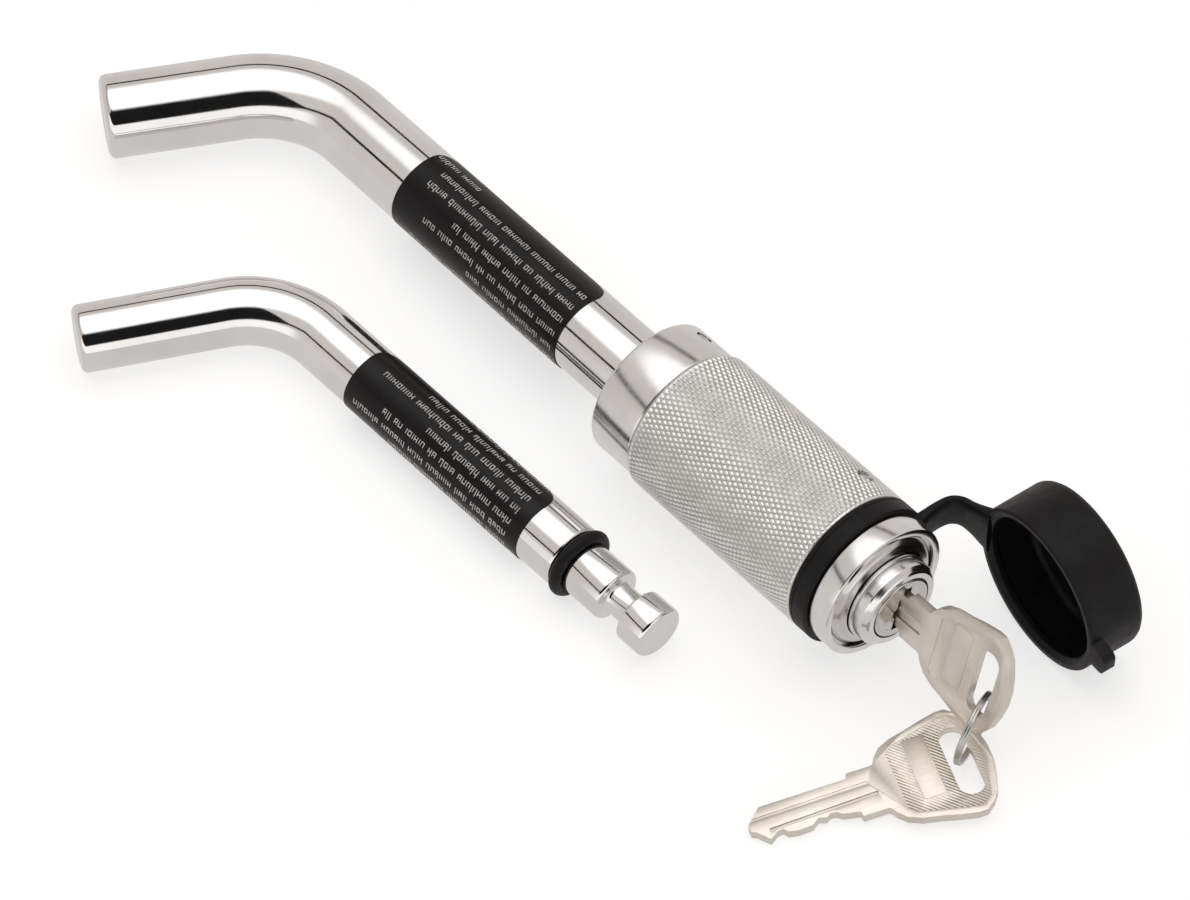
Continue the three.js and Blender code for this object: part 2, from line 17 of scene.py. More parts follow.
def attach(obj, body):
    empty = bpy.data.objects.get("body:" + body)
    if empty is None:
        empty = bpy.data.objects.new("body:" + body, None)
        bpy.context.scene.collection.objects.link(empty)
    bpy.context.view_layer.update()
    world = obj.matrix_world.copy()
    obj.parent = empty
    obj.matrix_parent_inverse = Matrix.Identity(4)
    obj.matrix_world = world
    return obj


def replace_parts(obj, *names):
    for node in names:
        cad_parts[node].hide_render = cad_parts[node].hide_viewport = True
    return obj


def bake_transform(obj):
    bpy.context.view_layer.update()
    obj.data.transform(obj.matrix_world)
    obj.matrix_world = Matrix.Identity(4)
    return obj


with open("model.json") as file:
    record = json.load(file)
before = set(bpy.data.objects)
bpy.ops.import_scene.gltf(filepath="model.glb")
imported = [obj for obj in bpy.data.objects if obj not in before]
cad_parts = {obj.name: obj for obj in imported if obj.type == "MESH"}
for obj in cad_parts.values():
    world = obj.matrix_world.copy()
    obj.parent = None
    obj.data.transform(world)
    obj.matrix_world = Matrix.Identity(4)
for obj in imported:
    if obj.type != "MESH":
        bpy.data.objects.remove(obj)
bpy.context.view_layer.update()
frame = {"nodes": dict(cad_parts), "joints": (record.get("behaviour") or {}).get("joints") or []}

# ---- sizes, in millimetres ----

MM = 0.001
ROUND = 144                       # facets round a turned piece
SHARP = 32                        # degrees above which an edge stays sharp
POLE = 1e-6                       # a ring with a smaller radius is one point
BEND_ANGLE = radians(60)

RECEIVER = {
    "radius": 7.9375, "leg": 38.5, "bend": 23.8, "shoulder": 101, "chamfer": 1.4,
    "step": 5.2, "step_end": 112.2, "neck": 3.1, "neck_end": 117.4, "end": 123.4,
    "label": (34.2, 80.2), "seed": 4, "first_row": 25, "row_pitch": 3.0,
    "rows": [(35.5, 46), (39, 79), (37, 79), (48.5, 79), (41, 79), (55.5, 79), (40, 79), (44, 79)],
}
SPARE = {
    "radius": 6.35, "leg": 38.3, "bend": 19, "shoulder": 78.4, "chamfer": 1.2,
    "step": 5.2, "step_end": 89.6, "neck": 3.1, "neck_end": 94.8, "end": 100.8,
    "label": (24, 70), "seed": 9, "first_row": 44, "row_pitch": 2.7,
    "rows": [(46, 67), (37, 67), (29, 67), (43.3, 67), (32.8, 67), (27.3, 67), (35, 67), (30, 67)],
}
SPARE_CORNER = (34.7, -34.6)      # from the receiver pin's bend corner
SPARE_TURN = radians(2.1)
SEAL = {"centre": 5.8, "wire": 1.22, "groove": 4.4, "width": 2.7}
FILM = {"lift": 0.06, "thickness": 0.12, "strip": (48, 94), "corner": 4}
PRINT = {"height": 1.45, "stroke": 0.16, "middle": 1.0, "widths": (0.2, 0.78, 0.85), "gap": 0.34,
         "space": 0.8, "word": (2, 9), "foot_bars": 0.4, "sink": 0.03, "rise": 0.06, "margin": 1}

COLLAR = {"start": 97, "end": 107.4, "radius": 13.88, "bore": 8.1, "bore_end": 101.3,
          "seal_bore": 7.4, "seal_end": 104.4}
CARRIER = {"radius": 8, "bore": 5.4, "bore_end": 124.4, "end": 126}
SPIGOT = {"inner": 11.4, "outer": 12.1, "end": 110.8}
BALLS = {"station": 114.8, "hole": 2.12, "drill": (3, 10), "angles": (0, 120, 240)}
DRILL_TOP = 16                    # holes through the outside are drilled in from this radius
SET_SCREW = {"station": 101.3, "angle": 45.5, "radius": 1.25, "inner": 9.5, "top": 13.75,
             "hole": 1.5, "floor": 9.2}
SLEEVE = {"start": 107.7, "end": 151, "radius": 14.54, "bore": 11.5, "edge": 0.45, "edge_slope": 0.75,
          "mouth": 12.3, "mouth_end": 111.1}
KNURL = {"starts": 84, "helix": radians(30), "depth": 0.3, "crest": 1.35, "margin": 0.3, "run_in": 0.4,
         "columns": 672, "rows": 216}
ROLL_PIN = {"station": 144.7, "angle": 42, "radius": 1.0, "inner": 10.6, "top": 14.1,
            "hole": 1.5, "hole_depth": 1.2}
BEZEL = {"tail": 139.5, "tail_radius": 11.3, "shoulder": 151.3, "neck": 12.4, "neck_end": 155.3,
         "radius": 13.58, "end": 159.9, "rim": 12.1, "recess": 158.3, "bore": 9.1,
         "groove": (142.6, 150.4), "groove_radius": 10.2}
FACE_PLATE = {"start": 158.6, "rim": 159.1, "radius": 11.6, "crown": (160.1, 10.5), "end": 160.4}
BARREL = {"start": 133, "end": 164.6, "radius": 8.7, "bead": (160.7, 161.1), "bead_radius": 8.95,
          "bead_slope": 0.1, "shoulder": 163.5, "nose": (164.35, 7.95), "face": 7.6, "mouth": 6.45,
          "bore": 6.35, "bore_start": 141.4, "tail_hole": 3.4, "cavity": 7.3, "cavity_end": 138.2}
PLUG = {"tail": 136, "tail_radius": 3.2, "clip": (137.1, 138), "clip_groove": 2.4,
        "start": 141.7, "end": 164.7, "radius": 6.2}
LATCH = {"station": 149, "hole": 1.35, "guide_hole": 1.3, "drill": (5, 10)}
SPRING = {"start": 126.9, "end": 137.4, "turns": 5, "wire": 0.45, "radius": 6.4}
KEYWAY = (145.6, 166)
KEYWAY_MOUTH = [     # a zig-zag in the key's own frame: across, along its width
    (-1.25, -4.6), (1.25, -4.6), (1.25, -1.9), (1.9, -1.4), (1.9, -0.1), (1.25, 0.4),
    (1.25, 2.2), (0.6, 2.7), (0.6, 4.6), (-1.25, 4.6), (-1.25, 1.6), (-1.75, 1.1),
    (-1.75, -0.4), (-1.25, -0.9),
]

CAP_RING = {"start": 151.2, "end": 155.1, "inner": 12.6, "outer": 14.5,
            "line": 151.95, "line_half": 0.2, "line_depth": 0.22}
CAP = {"radius": 16.25, "wall": 1.9, "depth": 12, "floor": 2, "bead": (0.9, 1.9, 2.4), "bead_height": 0.3,
       "mouth": 0.6}
CAP_PLACE = (176.1, 21.3, 16.25)
CAP_TURN = radians(6)
CAP_TAB = {"width": 4.6, "height": 3.5, "root": 0.6, "reach": (0.05, 2.6), "angle": radians(-92)}
STRAP_LEVEL = 17.4
STRAP_KNOTS = [      # x and y of the centreline from the bend corner, half height, half thickness
    (153.3, 13.2, 3.4, 1.5), (153.3, 15.6, 3.5, 1.2), (153.4, 18.4, 3.7, 0.95),
    (154.0, 20.9, 3.8, 0.9), (155.6, 22.4, 3.9, 0.9), (158.0, 22.9, 4.3, 0.95),
    (160.6, 23.3, 5.2, 1.3), (162.2, 23.6, 5.8, 1.6),
]

KEY = {"thickness": 2.0, "blade": 3.65, "collar": 4.65, "collar_start": 19.5, "collar_end": 24.2,
       "slot": (37.1, 41.9), "slot_half": 7.2, "panel_depth": 0.13, "border": 1.35}
KEY_BOW = [          # distance from the tip and half width
    (24.6, 4.9), (25.2, 6.0), (26.7, 7.6), (29.1, 8.7), (32.2, 9.4), (35.3, 10.3), (38.6, 11.05),
    (40.3, 11.0), (42, 9.6), (43.3, 7.9), (44.3, 4.8), (44.9, 1.6),
]
KEY_CUTS = [         # the bitting, from the collar to the tip
    (19.0, 3.5), (18, 3.3), (16.3, 2.9), (15.3, 2.15), (14.2, 2.0), (13.45, 2.6), (12, 2.1),
    (10.6, 3.16), (7.8, 3.26), (6.1, 2.9), (5.5, 2.0), (4.5, 2.1), (2.8, 3.26), (0.8, 1.05),
]
KEY_GROOVES = [      # outline, side of the key and depth
    ([(3.2, -1.75), (23.4, -1.2), (23.7, -0.9), (23.4, -0.6), (3.2, -1.15)], 1, 0.4),
    ([(-1, 1.0), (22.4, 1.2), (22.7, 1.5), (22.4, 1.9), (-1, 1.7)], 1, 0.15),
    ([(-1, 1.3), (22.4, 1.5), (22.8, 1.9), (22.4, 2.3), (-1, 2.2)], -1, 0.45),
    ([(-1, -0.6), (22.4, -0.4), (22.7, -0.1), (22.4, 0.3), (-1, 0.1)], -1, 0.3),
]
KEY_PLAQUE = (30.7, 34.9, -5.2, 7.5)     # near and far end, low and high side
CLEAR = 3                         # how far from its middle plane a key's cutters reach
KEY_TIP = 147.05
KEY_LEAN = radians(17.6)
SPARE_KEY_PLACE = (173.9, -43.5)
SPARE_KEY_TURN = radians(68.5)
SPARE_KEY_LIFT = radians(2.9)
KEY_RING = {"radius": 6.73, "wire": 0.42, "pitch": 0.9, "turns": 2.06, "spread": 0.06,
            "place": (186.5, -2.4, 7.5), "normal": (0.925, 0.368, -0.093)}

# ---- places, worked out from the frame ----

joints = {joint["name"]: joint for joint in frame["joints"]}
AXIS = Vector(joints["head_spin"]["axis"])
CORNER = Vector(joints["head_spin"]["pos_m"]) - AXIS * RECEIVER["shoulder"] * MM


def on_table(x, y, z=0.0):
    """A point given in millimetres from the spot on the table below the bend corner."""
    return Vector((CORNER.x + x * MM, CORNER.y + y * MM, z * MM))


def axes_place(origin, x_axis, y_axis):
    """The matrix whose local X and Y are the two given directions."""
    z_axis = x_axis.cross(y_axis)
    rotation = Matrix((x_axis, y_axis, z_axis)).transposed()
    return Matrix.Translation(origin) @ rotation.to_4x4()


def roll_for_tilt(tilt):
    """A pin rolls a little as its shaft tilts, so that its leg stays flat on the table."""
    return -asin(tan(tilt) / tan(BEND_ANGLE))


def resting_tilt(leg_radius, station, rim_radius):
    """The tilt of a pin that lies on its leg and on the rim of its O-ring."""
    return atan2(rim_radius, station) - asin(leg_radius / hypot(station, rim_radius))


LOCK = axes_place(CORNER, AXIS, Vector((0, 1, 0)))
LOCK_ROLLED = LOCK @ Matrix.Rotation(roll_for_tilt(atan2(AXIS.z, AXIS.x)), 4, "X")

spare_tilt = resting_tilt(
    SPARE["radius"], SPARE["shoulder"] + SEAL["width"] / 2, SEAL["centre"] + SEAL["wire"]
)
SPARE_SHAFT = (
    Matrix.Translation(on_table(*SPARE_CORNER, SPARE["radius"]))
    @ Matrix.Rotation(SPARE_TURN, 4, "Z")
    @ Matrix.Rotation(-spare_tilt, 4, "Y")
)
SPARE_ROLLED = SPARE_SHAFT @ Matrix.Rotation(roll_for_tilt(spare_tilt), 4, "X")
CAP_MOUTH = Matrix.Translation(on_table(*CAP_PLACE)) @ Matrix.Rotation(pi / 2 - CAP_TURN, 4, "Z")
KEY_IN_LOCK = (
    LOCK
    @ Matrix.Translation((KEY_TIP * MM, 0, 0))
    @ Matrix.Rotation(pi / 2 - KEY_LEAN, 4, "X")
)
SPARE_KEY = (
    Matrix.Translation(on_table(*SPARE_KEY_PLACE, KEY["thickness"] / 2))
    @ Matrix.Rotation(SPARE_KEY_TURN, 4, "Z")
    @ Matrix.Rotation(-SPARE_KEY_LIFT, 4, "Y")
)
TABLE = Matrix.Translation(on_table(0, 0))

# ---- shapes: every shape is (points, faces), in millimetres ----


def loft(rings, closed=False):
    """Skin over rings of equally many points. A ring of one point is a pole."""
    points, starts, faces = [], [], []
    for ring in rings:
        starts.append(len(points))
        points.extend(ring)
    count = max(len(ring) for ring in rings)
    pairs = list(zip(range(len(rings)), range(1, len(rings))))
    if closed:
        pairs.append((len(rings) - 1, 0))
    for low, high in pairs:
        for i in range(count):
            j = (i + 1) % count
            if len(rings[low]) == 1:
                faces.append((starts[low], starts[high] + j, starts[high] + i))
            elif len(rings[high]) == 1:
                faces.append((starts[low] + i, starts[low] + j, starts[high]))
            else:
                faces.append((starts[low] + i, starts[low] + j, starts[high] + j, starts[high] + i))
    if not closed:
        for end in (0, -1):
            if len(rings[end]) > 1:
                faces.append(tuple(starts[end] + i for i in range(count)))
    return points, faces


def circle(station, radius, count=ROUND):
    """A ring of points about the X axis."""
    if radius < POLE:
        return [Vector((station, 0, 0))]
    turns = [2 * pi * i / count for i in range(count)]
    return [Vector((station, radius * sin(turn), radius * cos(turn))) for turn in turns]


def rounded(corners, closed=False, steps=5):
    """The outline through 2-D corners (x, y) or (x, y, fillet radius)."""
    outline = []
    count = len(corners)
    for i, corner in enumerate(corners):
        point = Vector(corner[:2])
        inner = closed or 0 < i < count - 1
        if len(corner) < 3 or not inner:
            outline.append(point)
            continue
        before = (Vector(corners[i - 1][:2]) - point).normalized()
        after = (Vector(corners[(i + 1) % count][:2]) - point).normalized()
        half = before.angle(after) / 2
        centre = point + (before + after).normalized() * corner[2] / sin(half)
        reach = corner[2] / tan(half)
        start = (point + before * reach - centre).normalized()
        end = (point + after * reach - centre).normalized()
        outline.extend(centre + corner[2] * start.slerp(end, k / steps) for k in range(steps + 1))
    return outline


def lathe(corners, closed=False):
    """A profile of (station, radius, fillet) corners turned about X."""
    return loft([circle(x, r) for x, r in rounded(corners, closed)], closed)


def plate(outline, bottom, top):
    """An outline in X and Y given a thickness along Z."""
    return loft([[Vector((x, y, z)) for x, y in outline] for z in (bottom, top)])


def radial(station, angle, radius, inner, outer):
    """A round bar that points away from the X axis."""
    away = Vector((0, sin(radians(angle)), cos(radians(angle))))
    ends = [Vector((station, 0, 0)) + away * reach for reach in (inner, outer)]
    turn = (ends[1] - ends[0]).to_track_quat("X", "Y")
    return loft([[turn @ point + centre for point in circle(0, radius, 32)] for centre in ends])


def wire_along(frames, radius, count):
    """A round wire through (centre, u direction, v direction) frames."""
    turns = [2 * pi * k / count for k in range(count)]
    return loft([
        [c + radius * cos(turn) * u + radius * sin(turn) * v for turn in turns] for c, u, v in frames
    ])


def joined(*shapes):
    """Several shapes as one."""
    points, faces = [], []
    for more_points, more_faces in shapes:
        shift = len(points)
        points.extend(more_points)
        faces.extend(tuple(i + shift for i in face) for face in more_faces)
    return points, faces


# ---- objects ----


def smooth(mesh, angle):
    """Smooth shading, with edges above the angle left sharp."""
    mesh.shade_smooth()
    mesh.set_sharp_from_angle(angle=radians(angle))


def placed(name, data):
    """A Blender object in the scene."""
    made = bpy.data.objects.new(name, data)
    bpy.context.scene.collection.objects.link(made)
    return made


def solid(name, shape, place, angle=SHARP):
    """A Blender object made from a shape, with faces outward and smooth shading."""
    points, faces = shape
    mesh = bpy.data.meshes.new(name)
    mesh.from_pydata([point * MM for point in points], [], faces)
    edit = bmesh.new()
    edit.from_mesh(mesh)
    bmesh.ops.recalc_face_normals(edit, faces=edit.faces)
    edit.to_mesh(mesh)
    edit.free()
    smooth(mesh, angle)
    made = placed(name, mesh)
    made.matrix_world = place
    return made


def bake_modifiers(made):
    """Replaces the mesh by what its modifiers make of it."""
    graph = bpy.context.evaluated_depsgraph_get()
    mesh = bpy.data.meshes.new_from_object(made.evaluated_get(graph))
    made.modifiers.clear()
    made.data = mesh
    smooth(mesh, SHARP)


def boolean(made, shape, operation="DIFFERENCE"):
    """Cuts a shape, given in the piece's own frame, out of the piece, or joins it on."""
    cutter = solid("cutter", shape, made.matrix_world)
    step = made.modifiers.new("boolean", "BOOLEAN")
    step.operation = operation
    step.solver = "EXACT"
    step.object = cutter
    bake_modifiers(made)
    bpy.data.objects.remove(cutter)


def soften_edges(made, width, angle=35, segments=2):
    """Bevels the edges that are sharper than the angle."""
    step = made.modifiers.new("bevel", "BEVEL")
    step.width = width * MM
    step.segments = segments
    step.limit_method = "ANGLE"
    step.angle_limit = radians(angle)
    bake_modifiers(made)


def finish_piece(made, material, body, slot, *stands_for):
    """Gives a piece its material, the body it rides on and the CAD nodes that it stands for."""
    made.data.materials.append(material)
    if body:
        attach(made, body)
    if stands_for:
        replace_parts(made, *stands_for)


# ---- materials ----


class Finish:
    """A Principled material with short calls for procedural detail."""

    def __init__(self, name, colour, metallic, roughness, specular=0.5):
        self.material = bpy.data.materials.new(name)
        self.material.use_nodes = True
        self.tree = self.material.node_tree
        self.shader = self.tree.nodes["Principled BSDF"]
        self.shader.inputs["Base Color"].default_value = (*colour, 1)
        self.shader.inputs["Metallic"].default_value = metallic
        self.shader.inputs["Roughness"].default_value = roughness
        self.shader.inputs["Specular IOR Level"].default_value = specular
        self.place = self.node("ShaderNodeTexCoord").outputs["Object"]

    def node(self, kind, **settings):
        made = self.tree.nodes.new(kind)
        for setting, value in settings.items():
            setattr(made, setting, value)
        return made

    def link(self, source, target):
        self.tree.links.new(source, target)

    def turned(self):
        """Coordinates of a turned piece: station, angle about X, radius."""
        parts = self.node("ShaderNodeSeparateXYZ")
        self.link(self.place, parts.inputs[0])
        angle = self.node("ShaderNodeMath", operation="ARCTAN2")
        self.link(parts.outputs["Y"], angle.inputs[0])
        self.link(parts.outputs["Z"], angle.inputs[1])
        flat = self.node("ShaderNodeCombineXYZ")
        self.link(parts.outputs["Y"], flat.inputs["Y"])
        self.link(parts.outputs["Z"], flat.inputs["Z"])
        length = self.node("ShaderNodeVectorMath", operation="LENGTH")
        self.link(flat.outputs[0], length.inputs[0])
        made = self.node("ShaderNodeCombineXYZ")
        self.link(parts.outputs["X"], made.inputs["X"])
        self.link(angle.outputs[0], made.inputs["Y"])
        self.link(length.outputs["Value"], made.inputs["Z"])
        return made.outputs[0]

    def noise(self, scale, detail=4, stretch=None, coordinates=None):
        texture = self.node("ShaderNodeTexNoise")
        texture.inputs["Scale"].default_value = scale
        texture.inputs["Detail"].default_value = detail
        coordinates = coordinates or self.place
        if stretch:
            mapping = self.node("ShaderNodeMapping")
            mapping.inputs["Scale"].default_value = stretch
            self.link(coordinates, mapping.inputs["Vector"])
            coordinates = mapping.outputs["Vector"]
        self.link(coordinates, texture.inputs["Vector"])
        return texture.outputs["Fac"]

    def spread(self, value, low, high, start=0.3, end=0.7):
        """Maps a texture's middle range to the range from low to high."""
        ramp = self.node("ShaderNodeMapRange")
        self.link(value, ramp.inputs["Value"])
        ramp.inputs["From Min"].default_value = start
        ramp.inputs["From Max"].default_value = end
        ramp.inputs["To Min"].default_value = low
        ramp.inputs["To Max"].default_value = high
        return ramp.outputs["Result"]

    def roughness(self, value, low, high):
        self.link(self.spread(value, low, high), self.shader.inputs["Roughness"])

    def colour(self, value, dark, light):
        mix = self.node("ShaderNodeMix", data_type="RGBA")
        self.link(self.spread(value, 0, 1), mix.inputs["Factor"])
        mix.inputs["A"].default_value = (*dark, 1)
        mix.inputs["B"].default_value = (*light, 1)
        self.link(mix.outputs["Result"], self.shader.inputs["Base Color"])

    def bump(self, value, height, strength=1.0):
        """Relief of the given height, in millimetres."""
        relief = self.node("ShaderNodeBump")
        relief.inputs["Strength"].default_value = strength
        relief.inputs["Distance"].default_value = height * MM
        self.link(value, relief.inputs["Height"])
        earlier = self.shader.inputs["Normal"]
        if earlier.is_linked:
            self.link(earlier.links[0].from_socket, relief.inputs["Normal"])
        self.link(relief.outputs["Normal"], self.shader.inputs["Normal"])


def simple_finish(name, colour, metallic, roughness, rough, tint, relief=None, specular=0.5):
    """A finish in which noises (scale, detail) set roughness and colour between two values.

    relief is one more noise, with a height in millimetres and a strength.
    """
    made = Finish(name, colour, metallic, roughness, specular)
    made.roughness(made.noise(*rough[:2]), *rough[2:])
    made.colour(made.noise(*tint[:2]), *tint[2:])
    if relief:
        made.bump(made.noise(*relief[:2]), *relief[2:])
    return made.material


def machined_chrome():
    """Chrome over turned metal: hair-fine rings about the axis."""
    made = Finish("machined_chrome", (0.78, 0.77, 0.765), 1, 0.18)
    rings = made.noise(1, 3, (7000, 0.6, 7000), made.turned())
    made.roughness(rings, 0.1, 0.2)
    made.bump(rings, 0.014, 0.6)
    made.colour(made.noise(120, 3), (0.74, 0.73, 0.725), (0.84, 0.83, 0.825))
    return made.material


def brushed_face():
    """The lock face: circular brush marks."""
    made = Finish("brushed_face", (0.66, 0.65, 0.64), 1, 0.24)
    rings = made.noise(1, 4, (4000, 1.5, 7000), made.turned())
    made.roughness(rings, 0.1, 0.22)
    made.bump(rings, 0.012, 0.5)
    made.colour(rings, (0.52, 0.51, 0.50), (0.72, 0.71, 0.70))
    return made.material


def satin_nickel():
    """The knurled sleeve: satin plate, with painted shade that makes the bottom of its grooves darker
    than its crests.
    """
    made = Finish("satin_nickel", (0.80, 0.79, 0.775), 1, 0.34)
    made.roughness(made.noise(900, 5), 0.26, 0.42)
    parts = made.node("ShaderNodeSeparateXYZ")
    made.link(made.turned(), parts.inputs[0])
    crest = SLEEVE["radius"] * MM
    height = made.spread(parts.outputs["Z"], 0, 1, crest - KNURL["depth"] * MM, crest)
    # Painted shade: the colour darkens towards the bottom of the grooves, with random tone from a noise
    # added on top.
    groove_shade_and_tone = made.node("ShaderNodeMath", operation="ADD")
    made.link(height, groove_shade_and_tone.inputs[0])
    made.link(made.spread(made.noise(300, 4), -0.15, 0.15), groove_shade_and_tone.inputs[1])
    made.colour(groove_shade_and_tone.outputs[0], (0.56, 0.55, 0.54), (0.90, 0.89, 0.875))
    made.bump(made.noise(3200, 3), 0.02, 0.4)
    return made.material


def key_nickel():
    """Key blanks: warm nickel with fine milling lines along the key."""
    made = Finish("key_nickel", (0.76, 0.705, 0.63), 1, 0.36)
    lines = made.noise(1, 4, (260, 5200, 5200))
    made.roughness(lines, 0.3, 0.46)
    made.bump(lines, 0.016, 0.6)
    made.colour(made.noise(130, 4), (0.70, 0.645, 0.57), (0.81, 0.76, 0.685))
    return made.material


def key_hatch():
    """The key bow's sunk panel: fine diagonal ribs."""
    made = Finish("key_hatch", (0.74, 0.685, 0.61), 1, 0.38)
    ribs = made.node("ShaderNodeTexWave", wave_type="BANDS", bands_direction="DIAGONAL")
    ribs.inputs["Scale"].default_value = 800
    ribs.inputs["Distortion"].default_value = 0
    made.link(made.place, ribs.inputs["Vector"])
    made.bump(ribs.outputs["Fac"], 0.05, 0.7)
    made.roughness(made.noise(900, 3), 0.3, 0.46)
    made.colour(made.noise(150, 3), (0.67, 0.62, 0.545), (0.79, 0.74, 0.665))
    return made.material


# Bright chrome plate: faint handling smudges and a barely wavy skin.
CHROME = simple_finish(
    "chrome_plate", (0.80, 0.79, 0.785), 1, 0.06, rough=(140, 6, 0.045, 0.11),
    tint=(90, 3, (0.76, 0.75, 0.745), (0.84, 0.83, 0.825)), relief=(420, 3, 0.012, 0.35),
)
MACHINED = machined_chrome()
BRUSHED = brushed_face()
SATIN = satin_nickel()
KEY_METAL = key_nickel()
KEY_PANEL = key_hatch()
# Moulded black rubber: fine pebble and a soft sheen.
RUBBER = simple_finish(
    "black_rubber", (0.006, 0.0055, 0.0055), 0, 0.48, rough=(500, 5, 0.4, 0.55),
    tint=(220, 5, (0.004, 0.0036, 0.0036), (0.0085, 0.0078, 0.0078)),
    relief=(5200, 2, 0.025, 0.5), specular=0.2,
)
# The wrapped label: near-black film with slight ripples.
FILM_SKIN = simple_finish(
    "label_film", (0.006, 0.0055, 0.0053), 0, 0.3, rough=(260, 4, 0.24, 0.36),
    tint=(120, 3, (0.0045, 0.004, 0.004), (0.0075, 0.007, 0.0068)),
    relief=(160, 2, 0.05, 0.25), specular=0.22,
)
# Pale print on the film, a little uneven.
INK = simple_finish(
    "label_print", (0.52, 0.51, 0.50), 0, 0.45, rough=(800, 2, 0.4, 0.5),
    tint=(1500, 3, (0.4, 0.39, 0.385), (0.62, 0.61, 0.6)),
)
# Bare steel: springs, balls, pins, the screw and the key ring.
STEEL = simple_finish(
    "plain_steel", (0.56, 0.55, 0.54), 1, 0.3, rough=(600, 4, 0.2, 0.4),
    tint=(200, 4, (0.48, 0.47, 0.46), (0.62, 0.61, 0.6)),
)
# The clip behind the plug.
DARK = simple_finish(
    "dark_steel", (0.2, 0.19, 0.185), 1, 0.42, rough=(700, 4, 0.32, 0.5),
    tint=(240, 4, (0.14, 0.135, 0.13), (0.26, 0.25, 0.24)),
)
# The wafers in the plug.
BRASS = simple_finish(
    "stamped_brass", (0.72, 0.55, 0.26), 1, 0.34, rough=(700, 4, 0.26, 0.42),
    tint=(260, 4, (0.64, 0.48, 0.22), (0.78, 0.61, 0.31)),
)

# ---- bent pins ----


def bent_rod(pin):
    """The leg, the bend and the stepped shaft as one skin from end to end."""
    tangent = pin["bend"] * tan(BEND_ANGLE / 2)
    leg_way = Vector((-cos(BEND_ANGLE), -sin(BEND_ANGLE), 0))
    bend_centre = Vector((tangent, -pin["bend"], 0))
    level = Vector((0, 0, 1))
    rings = []

    def ring(centre, side, radius):
        if radius < POLE:
            rings.append([centre])
            return
        turns = [2 * pi * i / ROUND for i in range(ROUND)]
        rings.append([centre + radius * (sin(t) * side + cos(t) * level) for t in turns])

    leg_side = Vector((leg_way.y, -leg_way.x, 0))
    leg_profile = rounded([
        (pin["leg"], 0), (pin["leg"], pin["radius"], pin["chamfer"]), (tangent, pin["radius"]),
    ], steps=8)
    for distance, radius in leg_profile:
        ring(leg_way * distance, leg_side, radius)
    steps = 40
    for i in range(1, steps):
        turn = BEND_ANGLE * (1 - i / steps)
        side = Vector((-sin(turn), cos(turn), 0))
        ring(bend_centre + side * pin["bend"], side, pin["radius"])
    groove_end = pin["shoulder"] + SEAL["width"]
    shaft_profile = rounded([
        (tangent, pin["radius"]),
        (pin["shoulder"], pin["radius"], 0.7), (pin["shoulder"], SEAL["groove"], 0.2),
        (groove_end, SEAL["groove"], 0.2), (groove_end, pin["step"], 0.25),
        (pin["step_end"], pin["step"], 0.8), (pin["step_end"], pin["neck"], 0.8),
        (pin["neck_end"], pin["neck"], 0.8), (pin["neck_end"], pin["step"], 0.5),
        (pin["end"], pin["step"], 0.9), (pin["end"], 0),
    ])
    for station, radius in shaft_profile:
        ring(Vector((station, 0, 0)), Vector((0, 1, 0)), radius)
    return loft(rings)


def on_shaft(radius, station, angle):
    return Vector((station, radius * sin(radians(angle)), radius * cos(radians(angle))))


def patch(inner, outer, columns, span):
    """A thin curved patch: columns are stations, span(station) its (low, high) angles."""
    steps = 120
    layers = []
    for radius in (outer, inner):
        rows = []
        for station in columns:
            low, high = span(station)
            rows.append([
                on_shaft(radius, station, low + (high - low) * k / steps) for k in range(steps + 1)
            ])
        layers.append(rows)
    top, bottom = layers
    rings = [upper + lower[::-1] for upper, lower in zip(top, bottom)]
    return loft(rings)


def wrapped_film(pin):
    """The film goes round the shaft and leaves a strip of bare chrome; its corners are round."""
    start, end = pin["label"]
    radius = pin["radius"] + FILM["lift"]
    corner = FILM["corner"]
    in_degrees = 180 / (pi * radius)
    steps = 10
    ease = [corner * (1 - cos(pi / 2 * k / steps)) for k in range(steps + 1)]
    columns = [start + d for d in ease] + [end - d for d in reversed(ease)]

    def span(station):
        depth = min(station - start, end - station, corner)
        trim = corner - sqrt(max(0.0, corner**2 - (corner - depth) ** 2))
        low = FILM["strip"][1] + trim * in_degrees
        high = FILM["strip"][0] + 360 - trim * in_degrees
        return low, high

    return patch(radius - FILM["lift"] * 0.8, radius + FILM["thickness"], columns, span)


def print_mark(draw):
    """One small mark made of bars, as (from, to, foot, head) along the row and up from its base."""
    wide = draw.choice(PRINT["widths"])
    line = PRINT["stroke"]
    head = PRINT["middle"]
    tall = draw.choice((head, head, head, PRINT["height"]))
    bars = [(0, line, 0, tall)]
    if wide > 2 * line:
        bars.append((wide - line, wide, 0, head))
        level = draw.choice((0, head / 2, head - line))
        bars.append((line, wide - line, level, level + line))
        if draw.random() < PRINT["foot_bars"]:
            bars.append((line, wide - line, 0, line))
    return wide, bars


def printed_rows(pin):
    """Rows of small barred marks grouped like words; they spell nothing."""
    draw = random.Random(pin["seed"])
    radius = pin["radius"] + FILM["lift"] + FILM["thickness"]
    levels = (radius - PRINT["sink"], radius + PRINT["rise"])
    in_degrees = 180 / (pi * radius)
    marks = []
    for row, (row_start, row_end) in enumerate(pin["rows"]):
        base = pin["first_row"] - (row * pin["row_pitch"] - PRINT["height"] / 2) * in_degrees
        station = row_end
        while station > row_start + PRINT["margin"]:
            word_end = max(row_start, station - draw.randint(*PRINT["word"]))
            while station > word_end:
                wide, bars = print_mark(draw)
                for left, right, foot, head in bars:
                    top = base - head * in_degrees
                    bottom = base - foot * in_degrees
                    corners = [
                        (station - right, top), (station - left, top),
                        (station - left, bottom), (station - right, bottom),
                    ]
                    marks.append(loft([[on_shaft(r, *corner) for corner in corners] for r in levels]))
                station -= wide + PRINT["gap"]
            station -= PRINT["space"]
    return joined(*marks)


